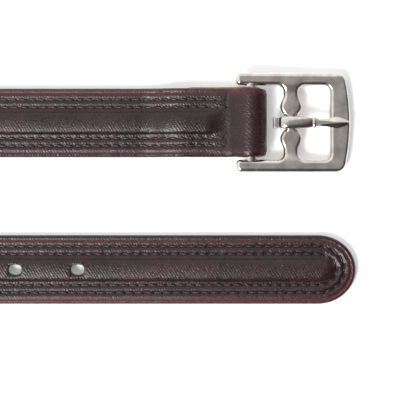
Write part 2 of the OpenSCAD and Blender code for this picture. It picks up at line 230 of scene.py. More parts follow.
def twist_stations(side, u):
    """Quarter twist: the ease of u sets the sideways place and the roll from flat to on edge."""
    ease, slope = smooth(u), 6 * u * (1 - u)
    head = np.arctan(side * (RUN_Y - BACK_GAP) * slope / TWIST_LEN)
    roll = np.pi / 2 * ease
    across = np.stack([-np.sin(head), np.cos(head), 0 * u], axis=1)
    places = np.stack([-FLAT_LEN - TWIST_LEN * u, side * (RUN_Y + (BACK_GAP - RUN_Y) * ease),
                       HALF_W * np.sin(roll)], axis=1)
    outer = side * across * np.cos(roll)[:, None] - Z_AXIS * np.sin(roll)[:, None]
    face = side * across * np.sin(roll)[:, None] + Z_AXIS * np.cos(roll)[:, None]
    return places, outer, face


def coil_stations(cx, r, a0, a1, face_out, step):
    """Arc of the roll: middle of the strap at radius r about a centre on the roll's middle line."""
    edge_x = -FLAT_LEN - TWIST_LEN
    roll_x = edge_x - EDGE_LEN - COIL_PITCH / 2
    roll_y = COIL_PITCH / 2 - COIL_CORE - 3.5 * COIL_PITCH
    n = max(8, int(math.ceil(r * abs(a1 - a0) / step)))
    a = a0 + (a1 - a0) * np.arange(1, n + 1) / n
    radial = np.stack([np.cos(a), np.sin(a), 0 * a], axis=1)
    places = np.array([roll_x + cx, roll_y, HALF_W]) + (r - face_out * CROWN_T / 2) * radial
    return places, np.tile(-Z_AXIS, (n, 1)), face_out * radial


def strap_course(step, rough):
    """The whole strap from the turned-back end round the bar, through the roll, to the tip's root.

    Each station has the place of the back's middle, the way to the outer edge and the way to the
    face; the list is chained from straight stretches, arcs and the two quarter twists. It also has
    the distance along the strap, how far the stitching stands out, and how far the pad is absent.
    """
    pi = math.pi
    slope_top = np.array([-WRAP_R * math.sin(WRAP_A), RUN_Y, BAR_Z + WRAP_R * math.cos(WRAP_A)])
    slope_h = BAR_Z + WRAP_R - STACK_Z - (WRAP_R + CLIMB_R) * (1 - math.cos(WRAP_A))
    slope_l = slope_h / math.tan(WRAP_A)
    slope_end = slope_top - np.array([slope_l, 0, slope_h])
    lean = np.array([-math.sin(WRAP_A), 0, math.cos(WRAP_A)])
    level_x = -(WRAP_R + CLIMB_R) * math.sin(WRAP_A) - slope_l
    rise_x = FLAT_START + 2 * RISE_R * math.sin(RISE_A)
    edge_x = -FLAT_LEN - TWIST_LEN
    coil_end = edge_x - EDGE_LEN
    flap_end = np.array([-FLAP_LEN, RUN_Y, STACK_Z])
    parts = [
        (flap_end[None], Y_AXIS[None], -Z_AXIS[None]),
        level_stations(flap_end, [0, RUN_Y, STACK_Z], Y_AXIS, -Z_AXIS, step),
        bend_stations(0, BAR_Z, WRAP_R, -pi / 2, pi / 2 + WRAP_A, 44, 1, RUN_Y),
        level_stations(slope_top, slope_end, Y_AXIS, lean, 0.6),
        bend_stations(level_x, STACK_Z + CLIMB_R, CLIMB_R, WRAP_A - pi / 2, -pi / 2, 8, -1, RUN_Y),
        level_stations([level_x, RUN_Y, STACK_Z], [rise_x, RUN_Y, STACK_Z], Y_AXIS, Z_AXIS, step / 2),
        bend_stations(rise_x, STACK_Z - RISE_R, RISE_R, pi / 2, pi / 2 + RISE_A, 8, 1, RUN_Y),
        bend_stations(FLAT_START, RISE_R, RISE_R, RISE_A - pi / 2, -pi / 2, 8, -1, RUN_Y),
        level_stations([FLAT_START, RUN_Y, 0], [-FLAT_LEN, RUN_Y, 0], Y_AXIS, Z_AXIS, step),
        twist_stations(1, np.arange(1, 61) / 60),
        level_stations([edge_x, BACK_GAP, HALF_W], [coil_end, BACK_GAP, HALF_W], -Z_AXIS, Y_AXIS, rough),
        coil_stations(COIL_PITCH / 2, COIL_CORE + 3.5 * COIL_PITCH, pi / 2, pi, 1, rough),
        coil_stations(-COIL_PITCH / 2, COIL_CORE + 2.5 * COIL_PITCH, pi, 2 * pi, 1, rough),
        coil_stations(COIL_PITCH / 2, COIL_CORE + 1.5 * COIL_PITCH, 0, pi, 1, rough),
        coil_stations(-COIL_PITCH / 2, COIL_CORE + 0.5 * COIL_PITCH, pi, 2 * pi, 1, rough),
        coil_stations(COIL_CORE / 2, COIL_CORE / 2, 0, pi, 1, rough / 2),
        coil_stations(-COIL_CORE / 2, COIL_CORE / 2, 2 * pi, pi, -1, rough / 2),
        coil_stations(COIL_PITCH / 2, COIL_CORE + 0.5 * COIL_PITCH, pi, 0, -1, rough),
        coil_stations(-COIL_PITCH / 2, COIL_CORE + 1.5 * COIL_PITCH, 2 * pi, pi, -1, rough),
        coil_stations(COIL_PITCH / 2, COIL_CORE + 2.5 * COIL_PITCH, pi, pi / 2, -1, rough),
        level_stations([coil_end, -BACK_GAP, HALF_W], [edge_x, -BACK_GAP, HALF_W], -Z_AXIS, -Y_AXIS, rough),
        twist_stations(-1, 1 - np.arange(1, 61) / 60),
        level_stations([-FLAT_LEN, -RUN_Y, 0], [TIP_ROOT, -RUN_Y, 0], -Y_AXIS, Z_AXIS, step),
    ]
    places, outer, face = [np.concatenate([p[k] for p in parts]) for k in range(3)]
    middle = places + FLAT_T / 2 * face
    along = np.concatenate([[0], np.cumsum(np.linalg.norm(np.diff(middle, axis=0), axis=1))])
    fold_stations = sum(len(p[0]) for p in parts[:5])
    plain = np.concatenate([np.full(len(p[0]), float(k < 5)) for k, p in enumerate(parts)])
    gap = np.where(np.arange(len(along)) < fold_stations, 0, along - along[fold_stations - 1])
    plain = np.maximum(plain, 1 - smooth((gap - 0.9) / 7.0))
    shown = [float(3 < k < 9 or k == len(parts) - 1) for k in range(len(parts))]
    seen = np.concatenate([np.full(len(p[0]), v) for p, v in zip(parts, shown)])
    return {"place": places + SHIFT, "outer": outer, "face": face, "along": along,
            "seen": seen * (1 - plain) ** 0.5, "plain": plain,
            "fold_count": fold_stations, "flap_count": 1 + len(parts[1][0]),
            "wrap": along[len(parts[1][0]) + 22], "wrap_half": (WRAP_R + FLAT_T / 2) * math.pi / 2 * 0.8}


def cut_course(course, first, last):
    """Part of the course, between two stations."""
    return {k: v[first:last] if isinstance(v, np.ndarray) else v for k, v in course.items()}


def border_rows(course, tip_steps=72):
    """Rows round the strap's border: in along the inner edge, round the tip, back along the outer.

    A point of a row is its base, plus the half width less the inset along its edge way, plus a
    height along its face way. At the tip the base slides forward so that insets stay ellipses.
    """
    place, outer, face, along = [course[k] for k in ("place", "outer", "face", "along")]
    ends = np.ones(len(along))
    a = np.pi / 2 - np.pi * np.arange(1, tip_steps) / tip_steps
    tip_edge = np.stack([np.cos(a), np.sin(a), 0 * a], axis=1)
    tip_base = place[-1] + (TIP_LEN - HALF_W) * np.cos(a)[:, None] * X_AXIS
    return {
        "base": np.concatenate([place, tip_base, place[::-1]]),
        "edge": np.concatenate([-outer, tip_edge, outer[::-1]]),
        "face": np.concatenate([face, np.tile(face[-1], (len(a), 1)), face[::-1]]),
        "along": np.concatenate([along, np.full(len(a), along[-1]), along[::-1]]),
        "side": np.concatenate([-ends, -np.sin(a), ends]),
        "ahead": np.concatenate([0 * along, np.cos(a), 0 * along]),
        "seen": np.concatenate([course["seen"], np.ones(len(a)), course["seen"][::-1]]),
        "plain": np.concatenate([course["plain"], np.zeros(len(a)), course["plain"][::-1]]),
    }


def half_rows(rows, side):
    """The rows of one side of the border."""
    mask = rows["side"] == side
    return {k: v[mask] for k, v in rows.items()}


def corner_draw(course, along):
    """How far the edge draws in round the fold: a quarter round in plan at the fold's two corners."""
    reach = np.clip(1 - np.abs(along - course["wrap"]) / course["wrap_half"], 0, 1)
    return FOLD_CORNER_R * (1 - np.sqrt(1 - 0.98 * reach ** 2))


def sweep_border(course, rows, inset, height):
    """Carries a half section round the border: inset and height are arrays of rows by points."""
    pull = corner_draw(course, rows["along"])[:, None]
    reach = HALF_W - inset - pull * (HALF_W - inset) / HALF_W
    return (rows["base"][:, None] + reach[..., None] * rows["edge"][:, None]
            + height[..., None] * rows["face"][:, None])


def border_run(rows, inset):
    """Distance along the border at each point's own inset, for patterns that follow the edge."""
    plan = rows["base"][:, None] + (HALF_W - inset)[..., None] * rows["edge"][:, None]
    steps = np.linalg.norm(np.diff(plan, axis=0), axis=2)
    on_strap = np.abs(np.diff(rows["along"]))[:, None] + 0 * steps
    steps = np.where(on_strap > 0, on_strap, steps)
    return np.concatenate([np.zeros((1, inset.shape[1])), np.cumsum(steps, axis=0)])


COURSE = strap_course(0.8, 4.0)
LINED_COURSE = cut_course(COURSE, COURSE["fold_count"], len(COURSE["along"]))
FLAP_COURSE = cut_course(COURSE, 1, COURSE["flap_count"])


# ---------------------------------------------------------------- layers of the strap
# Where there is no pad the cover's face and its underside are level at these heights
PLAIN_TOP, PLAIN_UNDER = 3.66, 2.44
PAD_TOP = 3.66
# Half sections as (inset from the edge, height), each from the midline outward
EDGE_ROUND = [(2.1, 3.34), (1.7, 3.2), (1.35, 3.36), (0.95, 3.42), (0.5, 3.22), (0.18, 2.82),
              (0.02, 2.2), (0.0, 1.5), (0.04, 0.85), (0.2, 0.38), (0.5, 0.1), (0.85, 0.02), (1.12, 0.1)]
ROW_BED = [(9.1, 4.2), (8.85, 3.93), (8.6, 3.66), (8.3, 3.46), (7.9, 3.34), (7.5, 3.26),
           (7.2, 3.1), (7.0, 3.02), (6.8, 3.1), (6.4, 3.38), (5.9, 3.56), (5.3, 3.56), (4.8, 3.38),
           (4.45, 3.12), (4.2, 3.02), (3.95, 3.12), (3.5, 3.4), (3.0, 3.54), (2.5, 3.5)]
PAD_CROWN = [(12.7, 4.8), (11.9, 4.79), (11.2, 4.75), (10.5, 4.68), (9.8, 4.55), (9.4, 4.38)]
FACE_LINE = PAD_CROWN + ROW_BED + EDGE_ROUND
# The first insets are the same in every line, so that holes can be cut through them
MIDDLE = (12.7, 11.9, 11.2, 10.5, 9.8)
HOLLOW_LINE = [(x, PAD_TOP) for x in MIDDLE + (9.05,)] + [(9.05, PLAIN_UNDER), (1.12, PLAIN_UNDER)]
BACK_LINE = [(x, 0.16) for x in MIDDLE] + [
    (8.4, 0.16), (7.6, 0.16), (7.2, 0.2), (7.0, 0.26), (6.8, 0.2), (6.0, 0.14), (5.0, 0.16),
    (4.4, 0.2), (4.2, 0.26), (4.0, 0.2), (3.0, 0.16), (1.4, 0.16), (1.16, 0.3)]
BACK_TOP = [(x, 1.18) for x in MIDDLE + (1.16,)]
CORE_LOW = [(x, 1.22) for x in MIDDLE + (1.2,)]
CORE_TOP = [(x, 2.4) for x in MIDDLE + (1.2,)]
PAD_COLUMNS = 10
HOLE_COLUMN = 4
# One ring of points round a hole: share of the way in, share of the way down, share of the rim's dip
HOLE_RINGS = [(0.45, 0, 0.0), (0.75, 0, 0.1), (0.92, 0, 0.6), (1.0, 0, 1.4), (1.0, 0.12, 1.8),
              (1.0, 0.6, 1.8), (1.0, 1.0, 0.0), (0.5, 1.0, 0.0)]


def padded_heights(rows, insets, heights, top_n, puckers):
    """Heights of the cover: level where there is no pad, puckered by the stitches, softly uneven.

    A pucker is a cosine along the row, one wave to a stitch, under a bell curve across it. The
    pad's unevenness is a slow sine along the strap times a quicker one.
    """
    cols = np.arange(insets.shape[1])
    on_top = cols < top_n
    inset, high = insets[0], heights[0]
    level = np.where((inset > 1.4) & on_top, PLAIN_TOP,
                     np.where((high > 3) & ~on_top, PLAIN_UNDER, high))
    plain, along, side = [rows[k][:, None] for k in ("plain", "along", "side")]
    heights = heights + plain * (level - high)[None]
    wave = np.cos(2 * np.pi * border_run(rows, insets) / STITCH_PITCH) - 0.2
    for row in (OUTER_ROW_INSET, INNER_ROW_INSET):
        near = np.exp(-((insets - row) / PUCKER_REACH) ** 2) * on_top
        heights = heights + puckers * rows["seen"][:, None] * near * wave
    soft = np.sin(along / 31.0) * np.sin(along / 13.7 + 0.05 * (HALF_W - insets) * side)
    return heights + 0.025 * soft * (cols < PAD_COLUMNS) * (1 - plain)


def hole_loop(n_rows, n_cols, n, lo, hi, box, mid):
    """Numbers of the grid's points on a box round a hole, from station lo to station hi.

    The box runs along one border, across over the midline, back along the other border and across.
    """
    inner, outer = np.arange(n) * n_cols, (n_rows - 1 - np.arange(n)) * n_cols
    span = np.arange(lo, hi + 1)
    step = np.sign(mid - box)
    half = np.arange(box, mid + step, step)
    return np.concatenate([
        inner[span] + box, inner[hi] + half[1:], outer[hi] + half[::-1][1:],
        outer[span[::-1]][1:] + box, outer[lo] + half[1:], inner[lo] + half[::-1][1:-1]])


def hole_oval(top, centre):
    """The hole's outline, one point for each point of the box, in its own direction.

    It is a circle whose halves are moved apart along X by the difference of length and width; the
    flat sides between them lie where the cosine of the direction is under 1 / 1.6.
    """
    radial = top[:, :2] - centre
    angle = np.arctan2(radial[:, 1] / HOLE_W, radial[:, 0] / HOLE_L)
    radius = HOLE_W / 2 - HOLE_EASE
    apart = (HOLE_L - HOLE_W) / 2 * np.clip(np.cos(angle) * 1.6, -1, 1)
    return centre + np.stack([np.cos(angle) * radius + apart, np.sin(angle) * radius], axis=1)


def layer(name, course, top_line, under_line, puckers=0.0):
    """A closed layer of the strap with its punched holes.

    Two half-section lines, both starting at the midline, are carried round the border and joined
    at their outer ends, so the layer is one skin. Round each hole the grid is cut back to a box
    and rings lead from the box to the oval, down the hole's wall and out again underneath.
    """
    rows = border_rows(course)
    line = top_line + under_line[::-1]
    n_rows, n_cols, n = len(rows["side"]), len(line), len(course["along"])
    insets = np.tile([p[0] for p in line], (n_rows, 1))
    heights = np.tile([p[1] for p in line], (n_rows, 1))
    if puckers:
        heights = padded_heights(rows, insets, heights, len(top_line), puckers)
    reach = HALF_W - insets
    across = reach * rows["side"][:, None]
    along = rows["along"][:, None] + (TIP_LEN - insets) * rows["ahead"][:, None]
    verts = [sweep_border(course, rows, insets, heights).reshape(-1, 3)]
    lay = [(np.stack([along, across, heights], axis=2) * MM).reshape(-1, 3)]
    border = np.stack([reach * MM, rows["side"][:, None] + 0 * insets, 0 * insets], axis=2)
    faces = grid_faces(n_rows, n_cols)
    keep = np.ones(len(faces), bool)
    face_row, face_col = faces[:, 0] // n_cols, faces[:, 0] % n_cols
    near_middle = (face_col < HOLE_COLUMN) | (face_col >= n_cols - 1 - HOLE_COLUMN)
    patches, offset = [], n_rows * n_cols
    for i in range(HOLE_COUNT):
        centre = np.array([TIP_X - FIRST_HOLE - i * HOLE_PITCH, -RUN_Y]) + SHIFT[:2]
        flat = np.abs(course["place"][:, 1] - centre[1]) < 1e-6
        close = np.abs(course["place"][:, 0] - centre[0]) < HOLE_L / 2 + 1.0
        lo, hi = np.where(flat & close)[0][[0, -1]]
        keep &= ~(near_middle & (((face_row >= lo) & (face_row < hi))
                                 | ((face_row >= n_rows - 1 - hi) & (face_row < n_rows - 1 - lo))))
        over = hole_loop(n_rows, n_cols, n, lo, hi, HOLE_COLUMN, 0)
        under = hole_loop(n_rows, n_cols, n, lo, hi, n_cols - 1 - HOLE_COLUMN, n_cols - 1)
        top, bottom = verts[0][over], verts[0][under]
        oval = hole_oval(top, centre)
        for inward, down, sink in HOLE_RINGS:
            edge_xy = top[:, :2] * (1 - inward) + oval * inward
            level = (top[:, 2] - sink * HOLE_DISH * puckers) * (1 - down) + bottom[:, 2] * down
            verts.append(np.column_stack([edge_xy, level]))
            lay.append(lay[0][over] * (1 - down) + lay[0][under] * down)
        rings = offset + np.arange(len(HOLE_RINGS) * len(over)).reshape(len(HOLE_RINGS), -1)
        rings = np.vstack([over, rings, under])
        for a, b in zip(rings[:-1], rings[1:]):
            patches.append(np.stack([a, b, np.roll(b, -1), np.roll(a, -1)], axis=1))
        offset += len(HOLE_RINGS) * len(over)
    lay = np.concatenate(lay)
    border = np.concatenate([border.reshape(-1, 3), np.zeros((len(lay) - n_rows * n_cols, 3))])
    obj = new_object(name, np.concatenate(verts), np.concatenate([faces[keep]] + patches),
                     {"lay": lay, "border": border}, weld=0.004)
    loose_drop(obj)
    return obj


def ribbon(name, course, first, last, section):
    """A closed band: a ring of (across, height) points carried along part of the strap's course."""
    across = np.array([p[0] for p in section])
    height = np.array([p[1] for p in section])
    place, outer, face, along = [course[k][first:last] for k in ("place", "outer", "face", "along")]
    pull = 1 - corner_draw(course, along) / HALF_W
    verts = (place[:, None] + (across[None] * pull[:, None])[..., None] * outer[:, None]
             + height[None, :, None] * face[:, None])
    n, m = verts.shape[:2]
    lay = np.stack(np.broadcast_arrays(along[:, None] * MM, across[None] * MM, height[None] * MM), axis=2)
    return new_object(name, verts.reshape(-1, 3), grid_faces(n, m, wrap_cols=True),
                      {"lay": lay.reshape(-1, 3)}, weld=0.002)


# ---------------------------------------------------------------- stitches
def stitch_mesh(name, centres, ways, ups, radius):
    """Short bars of waxed thread, one for each centre.

    Each bar is six rings of six points along its way, fat in the middle and sunk at both ends:
    the ring at share s of the length stands radius times the root of one less s squared.
    """
    ring_at = np.array([-1, -0.86, -0.4, 0.4, 0.86, 1.0])
    ring_r = np.array([0.12, 0.7, 1.0, 1.0, 0.7, 0.12])
    sink = -0.55 * ring_at ** 4
    turn = np.arange(6) * np.pi / 3
    side = np.cross(ups, ways)
    ways = ways * math.cos(STITCH_SLANT) + side * math.sin(STITCH_SLANT)
    side = np.cross(ups, ways)
    reach = ring_at[None, :, None, None] * STITCH_LEN / 2
    swing = (np.cos(turn)[None, None, :, None] * side[:, None, None]
             + 0.8 * np.sin(turn)[None, None, :, None] * ups[:, None, None])
    verts = (centres[:, None, None] + reach * ways[:, None, None]
             + swing * (ring_r * radius)[None, :, None, None]
             + (sink * radius)[None, :, None, None] * ups[:, None, None])
    count = len(centres)
    base = grid_faces(6, 6, wrap_cols=True)
    caps = np.array([[0, 1, 2, 3], [0, 3, 4, 5], [33, 32, 31, 30], [35, 34, 33, 30]])
    quads = np.concatenate([base, caps])
    faces = (quads[None] + (36 * np.arange(count))[:, None, None]).reshape(-1, 4)
    lay = np.broadcast_to(reach, verts.shape).reshape(-1, 3) * MM
    return new_object(name, verts.reshape(-1, 3), faces, {"lay": lay})


def along_row(rows, inset, height):
    """Places, ways and ups one stitch apart on the border row at one inset."""
    path = (rows["base"] + (HALF_W - inset) * rows["edge"]
            + np.asarray(height).reshape(-1, 1) * rows["face"])
    run = np.concatenate([[0], np.cumsum(np.linalg.norm(np.diff(path, axis=0), axis=1))])
    stops = np.arange(STITCH_PITCH / 2, run[-1], STITCH_PITCH)
    places = np.column_stack([np.interp(stops, run, path[:, k]) for k in range(3)])
    ahead = np.column_stack([np.interp(stops + 0.3, run, path[:, k]) for k in range(3)])
    behind = np.column_stack([np.interp(stops - 0.3, run, path[:, k]) for k in range(3)])
    ups = np.column_stack([np.interp(stops, run, rows["face"][:, k]) for k in range(3)])
    ways = ahead - behind
    ways /= np.linalg.norm(ways, axis=1)[:, None]
    ups -= (ups * ways).sum(1)[:, None] * ways
    ups /= np.linalg.norm(ups, axis=1)[:, None]
    return places, ways, ups


# ---------------------------------------------------------------- buckle
def plate(name, outlines, thickness, bevel):
    """Flat plate with round-shouldered rims.

    The outlines are filled, thickened and their rims turned down along a quarter circle. The first
    outline runs anticlockwise, a window's clockwise.
    """
    curve = bpy.data.curves.new(name, "CURVE")
    curve.dimensions = "2D"
    curve.fill_mode = "BOTH"
    curve.extrude = (thickness / 2 - bevel) * MM
    curve.bevel_depth = bevel * MM
    curve.bevel_resolution = 5
    curve.offset = -bevel * MM
    for outline in outlines:
        spline = curve.splines.new("POLY")
        spline.points.add(len(outline) - 1)
        flat = np.column_stack([np.asarray(outline) * MM, np.zeros(len(outline)), np.ones(len(outline))])
        spline.points.foreach_set("co", flat.ravel())
        spline.use_cyclic_u = True
    holder = bpy.data.objects.new(name, curve)
    bpy.context.scene.collection.objects.link(holder)
    bpy.context.view_layer.update()
    mesh = bpy.data.meshes.new_from_object(holder.evaluated_get(bpy.context.evaluated_depsgraph_get()))
    bpy.data.objects.remove(holder)
    bm = bmesh.new()
    bm.from_mesh(mesh)
    bmesh.ops.remove_doubles(bm, verts=bm.verts, dist=0.004 * MM)
    bmesh.ops.recalc_face_normals(bm, faces=bm.faces)
    bm.to_mesh(mesh)
    bm.free()
    obj = bpy.data.objects.new(name, mesh)
    bpy.context.scene.collection.objects.link(obj)
    return obj


def revolve_y(name, profile, steps):
    """Turns a ring of (radius, y) points about the Y axis."""
    profile = np.asarray(profile, float)
    a = 2 * math.pi * np.arange(steps) / steps
    verts = np.stack([np.outer(np.cos(a), profile[:, 0]), np.tile(profile[:, 1], (steps, 1)),
                      np.outer(np.sin(a), profile[:, 0])], axis=2)
    return new_object(name, verts.reshape(-1, 3),
                      grid_faces(steps, len(profile), wrap_rows=True, wrap_cols=True), weld=0.001)


def bar_y(name, radius, half):
    """Round bar along Y with closed ends."""
    return revolve_y(name, [(0.0, -half), (radius, -half), (radius, half), (0.0, half)], 72)


def arc_2d(cx, cy, r, a0, a1, n):
    """Points of an arc in plan, angles in degrees, both ends kept."""
    a = np.radians(np.linspace(a0, a1, n))
    return [(cx + r * math.cos(t), cy + r * math.sin(t)) for t in a]


def join(name, parts):
    """One object from several, with its normals facing out."""
    bm = bmesh.new()
    for part in parts:
        bm.from_mesh(part.data)
    bmesh.ops.delete(bm, geom=[e for e in bm.edges if not e.link_faces], context="EDGES")
    bmesh.ops.recalc_face_normals(bm, faces=bm.faces)
    mesh = bpy.data.meshes.new(name)
    bm.to_mesh(mesh)
    bm.free()
    for part in parts:
        bpy.data.objects.remove(part)
    obj = bpy.data.objects.new(name, mesh)
    bpy.context.scene.collection.objects.link(obj)
    return obj


def into_buckle(obj):
    """Tilts a piece drawn flat about the rear bar into its place between bar and floor."""
    co = places_of(obj)
    c, s = math.cos(TILT), math.sin(TILT)
    turned = np.column_stack([co[:, 0] * c + co[:, 2] * s, co[:, 1], -co[:, 0] * s + co[:, 2] * c])
    return set_places(obj, turned + BAR * MM)


def soften_rims(obj, width, limit):
    """Rounds rims sharper than a limit in degrees, so they catch a line of light."""
    mod = obj.modifiers.new("rims", "BEVEL")
    mod.width = width * MM
    mod.segments = 2
    mod.limit_method = "ANGLE"
    mod.angle_limit = math.radians(limit)
    apply_modifiers(obj)
    obj.data.shade_smooth()
    mod = obj.modifiers.new("facets", "WEIGHTED_NORMAL")
    mod.keep_sharp = True
    apply_modifiers(obj)


def cosine_blend(a, b, u):
    """From a to b along half a cosine."""
    return a + (b - a) * (1 - np.cos(np.pi * np.clip(u, 0, 1))) / 2


def centre_half(y):
    """Half width of the centre bar at a distance y from its middle.

    A sine leads from the tongue's seat to a bulge, a cosine on to a waist, and a quarter circle flares
    the waist into the side bar.
    """
    y = np.abs(np.asarray(y, float))
    seat = cosine_blend(SEAT_HALF, STEP_HALF, (y - SEAT_END) / (STEP_END - SEAT_END))
    swell = STEP_HALF + (BULGE_HALF - STEP_HALF) * np.sin(
        np.pi / 2 * np.clip((y - STEP_END) / (SWELL_END - STEP_END), 0, 1))
    waist = cosine_blend(BULGE_HALF, WAIST_HALF, (y - SWELL_END) / (WAIST_END - SWELL_END))
    rise = np.clip(y - WINDOW_HALF + FLARE_R, 0, FLARE_R)
    flare = WAIST_HALF + FLARE_R - np.sqrt(np.maximum(0, FLARE_R ** 2 - rise ** 2))
    return np.select([y < STEP_END, y < SWELL_END, y < WAIST_END], [seat, swell, waist], flare)


def buckle_outlines(reach, side_bar, front_bar):
    """Plan of the frame: its outside with the notch back to the centre bar, and the front window."""
    half = WINDOW_HALF + side_bar
    front_r = (half * half + FRONT_BOW * FRONT_BOW) / (2 * FRONT_BOW)
    bow_x = reach - front_r
    corner_y = half - FRONT_CORNER_R
    corner_x = bow_x + math.sqrt((front_r - FRONT_CORNER_R) ** 2 - corner_y ** 2)
    lean = math.degrees(math.atan2(corner_y, corner_x - bow_x))
    near = (arc_2d(FRAME_BACK + REAR_CORNER_R, -half + REAR_CORNER_R, REAR_CORNER_R, 180, 270, 9)
            + arc_2d(corner_x, -corner_y, FRONT_CORNER_R, 270, 360 - lean, 14)
            + arc_2d(bow_x, 0, front_r, -lean, 0, 26)[1:])
    far = [(x, -y) for x, y in near[::-1]][1:]
    y = np.linspace(WINDOW_HALF, -WINDOW_HALF, 221)
    width = centre_half(y)
    notch_x, notch_y = FRAME_BACK + NOTCH_CORNER_R, WINDOW_HALF + NOTCH_CORNER_R
    notch = (arc_2d(notch_x, notch_y, NOTCH_CORNER_R, 180, 270, 8)
             + list(zip(CENTRE_BAR_X - width, y))
             + arc_2d(notch_x, -notch_y, NOTCH_CORNER_R, 90, 180, 8))
    window_x = reach - front_bar - WINDOW_CORNER_R
    window_y = WINDOW_HALF - WINDOW_CORNER_R
    window = (list(zip(CENTRE_BAR_X + width[::-1], y[::-1]))
              + arc_2d(window_x, window_y, WINDOW_CORNER_R, 90, 0, 9)
              + arc_2d(window_x, -window_y, WINDOW_CORNER_R, 0, -90, 9))
    return near + far + notch, window


def thin_centre(obj, share):
    """Thins the centre bar: heights shrink to a share of their own, easing back round it.

    The ease runs over 1.5 mm before and behind the bar and over 4 mm toward the side bars.
    """
    co = places_of(obj)
    x, y = co[:, 0] / MM, np.abs(co[:, 1]) / MM
    inside = smooth((6.2 - np.abs(x - CENTRE_BAR_X)) / 1.5) * smooth((WINDOW_HALF + 1.0 - y) / 4.0)
    co[:, 2] *= 1 - (1 - share) * inside
    return set_places(obj, co)


def tongue_loft(name, stations):
    """Faceted loft along X through (x, half width, underside, top, crest's share of the width).

    Each section is eight-sided, and its rims are rounded by 0.12 mm.
    """
    st = np.array(stations)
    w, lo, hi, crest = st.T[1:]
    mid = lo + (hi - lo) * 0.5
    ring_y = np.stack([-w * 0.8, w * 0.8, w, w, w * crest, -w * crest, -w, -w], axis=1)
    ring_z = np.stack([lo, lo, lo + (hi - lo) * 0.15, mid, hi, hi, mid, lo + (hi - lo) * 0.15], axis=1)
    verts = np.stack([np.broadcast_to(st[:, :1], ring_y.shape), ring_y, ring_z], axis=2)
    obj = new_object(name, verts.reshape(-1, 3), grid_faces(len(st), 8, wrap_cols=True), weld=0.001)
    soften_rims(obj, 0.12, 14)
    return obj


def hump_loft(name, stations):
    """Round loft along X through (x, half width, underside, top).

    Each section is a squarish ellipse, its cosine and sine raised to 0.8.
    """
    st = np.array(stations)
    a = np.arange(24) * 2 * np.pi / 24
    cos, sin = [np.sign(v) * np.abs(v) ** 0.8 for v in (np.cos(a), np.sin(a))]
    mid, half = (st[:, 2] + st[:, 3]) / 2, (st[:, 3] - st[:, 2]) / 2
    verts = np.stack([np.repeat(st[:, :1], 24, axis=1), st[:, 1:2] * cos, mid[:, None] + half[:, None] * sin],
                     axis=2)
    return new_object(name, verts.reshape(-1, 3), grid_faces(len(st), 24, wrap_cols=True), weld=0.001)


# ---------------------------------------------------------------- materials
def linear(hex_colour):
    """An sRGB hex colour as the linear RGBA that shaders take."""
    s = np.array([int(hex_colour[i:i + 2], 16) / 255 for i in (1, 3, 5)])
    rgb = np.where(s <= 0.04045, s / 12.92, ((s + 0.055) / 1.055) ** 2.4)
    return (*rgb.tolist(), 1.0)


def add(tree, kind, settings=None, links=None, **values):
    """Adds a node; settings are its properties, values its sockets, links its sockets' sources."""
    node = tree.nodes.new(kind)
    for key, value in (settings or {}).items():
        setattr(node, key, value)
    for key, value in values.items():
        node.inputs[key.replace("_", " ")].default_value = value
    for key, source in (links or {}).items():
        tree.links.new(source, node.inputs[key])
    return node


def new_material(name):
    """An empty node material and its shader and output."""
    mat = bpy.data.materials.new(name)
    mat.use_nodes = True
    tree = mat.node_tree
    tree.nodes.clear()
    shader = add(tree, "ShaderNodeBsdfPrincipled")
    add(tree, "ShaderNodeOutputMaterial", links={"Surface": shader.outputs["BSDF"]})
    return mat, tree, shader


def ramp(tree, source, stops):
    """Colour ramp through (place, colour) stops."""
    node = add(tree, "ShaderNodeValToRGB", links={"Fac": source})
    elements = node.color_ramp.elements
    while len(elements) < len(stops):
        elements.new(0.5)
    for element, (place, colour) in zip(elements, stops):
        element.position = place
        element.color = colour
    return node.outputs["Color"]


def grey(value):
    """A grey ramp colour."""
    return (value, value, value, 1.0)


def set_bump(tree, shader, *layers):
    """Stacks bumps, each a (height, strength, distance) on the one before, into the shader."""
    normal = None
    for height, strength, distance in layers:
        node = add(tree, "ShaderNodeBump", links={"Height": height}, Strength=strength, Distance=distance)
        if normal:
            tree.links.new(normal, node.inputs["Normal"])
        normal = node.outputs["Normal"]
    tree.links.new(normal, shader.inputs["Normal"])


def mix(tree, share, low, high, blend="MIX"):
    """Blends two colours, each a socket or an RGBA."""
    node = add(tree, "ShaderNodeMix", {"data_type": "RGBA", "blend_type": blend})
    for key, value in (("Factor", share), ("A", low), ("B", high)):
        if isinstance(value, bpy.types.NodeSocket):
            tree.links.new(value, node.inputs[key])
        else:
            node.inputs[key].default_value = value
    return node.outputs["Result"]


def spread(tree, source, from_low, from_high, to_low=0.0, to_high=1.0):
    """Maps a value from one range to another, held at the ends."""
    return add(tree, "ShaderNodeMapRange", links={"Value": source}, From_Min=from_low,
               From_Max=from_high, To_Min=to_low, To_Max=to_high).outputs["Result"]


